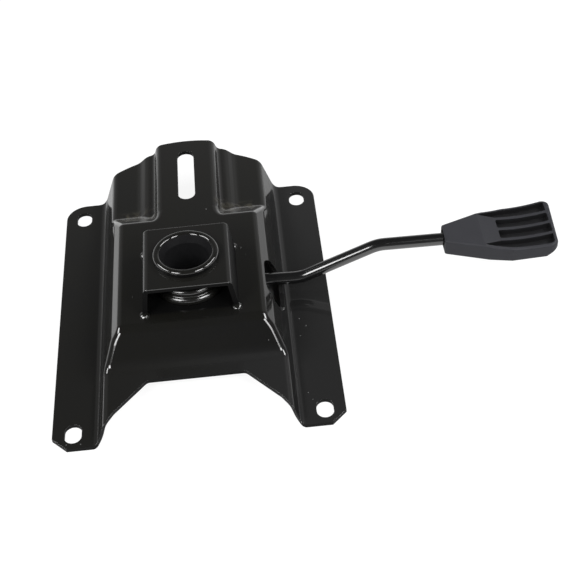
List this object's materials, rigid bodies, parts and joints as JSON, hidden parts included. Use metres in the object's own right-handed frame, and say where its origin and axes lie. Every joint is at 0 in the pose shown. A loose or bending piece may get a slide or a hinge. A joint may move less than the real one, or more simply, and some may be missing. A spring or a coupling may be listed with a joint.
{
  "type": "swivel chair seat plate",
  "caption": "Pressed black steel seat plate, underside up, with bolt slots, a tapered gas-lift socket in a folded bracket and a bent height lever with a moulded paddle.",
  "frame": {"origin": "centre of the four seat bolts, on the face that meets the seat", "axes": "+X to the front of the chair, +Y to the lever's side, +Z away from the seat, which is up as the plate lies"},
  "size_m": [0.254, 0.3215, 0.056],
  "materials": {
    "black_paint": "gloss black paint",
    "bare_steel": "zinc-plated",
    "moulded_plastic": "fine-grained charcoal moulding"
  },
  "bodies": {
    "plate": {"seat_plate": "black_paint", "socket_bracket": "black_paint", "taper_socket": "black_paint", "socket_weld": "black_paint", "bracket_welds": "black_paint", "fulcrum_clip": "black_paint", "pivot_rivet": "bare_steel"},
    "lever": {"lever_rod": "black_paint", "lever_handle": "moulded_plastic"}
  },
  "joints": [
    {"name": "lever_hinge", "type": "hinge", "parent": "plate", "child": "lever", "pos_m": [-0.004, 0.034, 0.01615], "axis": [1, 0, 0], "range_deg": [0, 8.5]}
  ]
}
